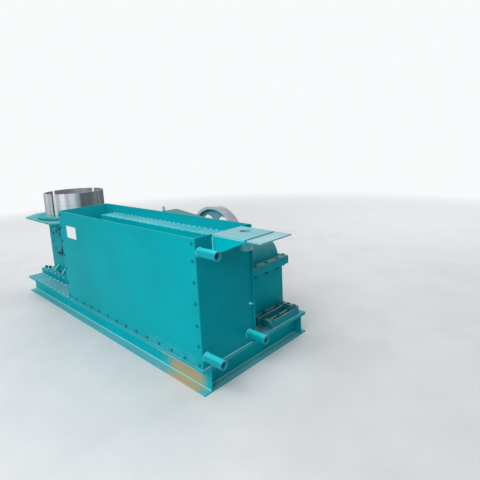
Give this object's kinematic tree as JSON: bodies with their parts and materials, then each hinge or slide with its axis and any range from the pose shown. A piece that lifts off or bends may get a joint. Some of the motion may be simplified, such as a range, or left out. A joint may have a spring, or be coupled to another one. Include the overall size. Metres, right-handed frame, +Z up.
{
  "type": "wire drawing machine",
  "caption": "Wet wire drawing machine: open water tank, arched gearbox and belt pulley on a channel frame, with a slotted take-up capstan at one end",
  "frame": {"origin": "centre of the bounding box at floor level", "axes": "+X along the machine towards the pay-in shelf, -Y the front panel of the tank, +Z up"},
  "size_m": [3.412, 1.309, 1.104],
  "materials": {
    "teal_paint": "satin enamel",
    "dusty_paint": "satin enamel with dust",
    "drum_steel": "turned and brushed",
    "machined_steel": "machined",
    "hardened_steel": "ground, wet",
    "cast_rim": "machined cast rim",
    "tap_brass": "dull brass"
  },
  "bodies": {
    "frame": {"base_front_rail": "teal_paint", "base_back_rail": "teal_paint", "base_end_rails": "teal_paint", "base_cross_members": "teal_paint", "deck_plate": "dusty_paint", "tank_front_panel": "teal_paint", "tank_back_wall": "teal_paint", "tank_left_end": "teal_paint", "tank_right_end": "teal_paint", "tank_floor": "teal_paint", "tank_bolting_frame": "teal_paint", "tank_inner_ledge": "dusty_paint", "shelf_plate": "dusty_paint", "shelf_lip": "dusty_paint", "shelf_gussets": "teal_paint", "shelf_socket": "teal_paint", "overflow_pipe": "teal_paint", "drain_pipe_front": "teal_paint", "drain_pipe_back": "teal_paint", "die_box": "teal_paint", "die_box_lid": "teal_paint", "stepped_cones": "hardened_steel", "cone_shafts": "machined_steel", "shaft_seals": "teal_paint", "gearbox_body": "teal_paint", "gearbox_cover": "dusty_paint", "cover_eyebolt": "teal_paint", "input_bearing_cap": "teal_paint", "motor_rails": "teal_paint", "foot_bars": "teal_paint", "foot_plate": "teal_paint", "pedestal_gussets": "teal_paint", "pedestal_body": "teal_paint", "pedestal_round_cover": "teal_paint", "tray_plate": "dusty_paint", "capstan_bearing": "machined_steel", "wheel_bearing": "teal_paint", "oil_pipe": "teal_paint", "drain_tap": "tap_brass"},
    "capstan": {"capstan_shaft": "machined_steel", "capstan_flange": "teal_paint", "capstan_drum": "drum_steel"},
    "pulley": {"input_shaft": "machined_steel", "drive_pulley": "cast_rim"},
    "wheel": {"side_wheel": "machined_steel"}
  },
  "joints": [
    {"name": "capstan_spin", "type": "hinge", "parent": "frame", "child": "capstan", "pos_m": [-1.216, -0.2135, 0.9], "axis": [0, 0, 1], "continuous": true},
    {"name": "pulley_spin", "type": "hinge", "parent": "frame", "child": "pulley", "pos_m": [0.164, 0.5955, 0.588], "axis": [0, 1, 0], "continuous": true},
    {"name": "wheel_spin", "type": "hinge", "parent": "frame", "child": "wheel", "pos_m": [-1.415, 0.0995, 0.67], "axis": [0, 1, 0], "continuous": true}
  ],
  "couplings": [
    {"joint": "wheel_spin", "follows": "capstan_spin", "ratio": 3}
  ]
}
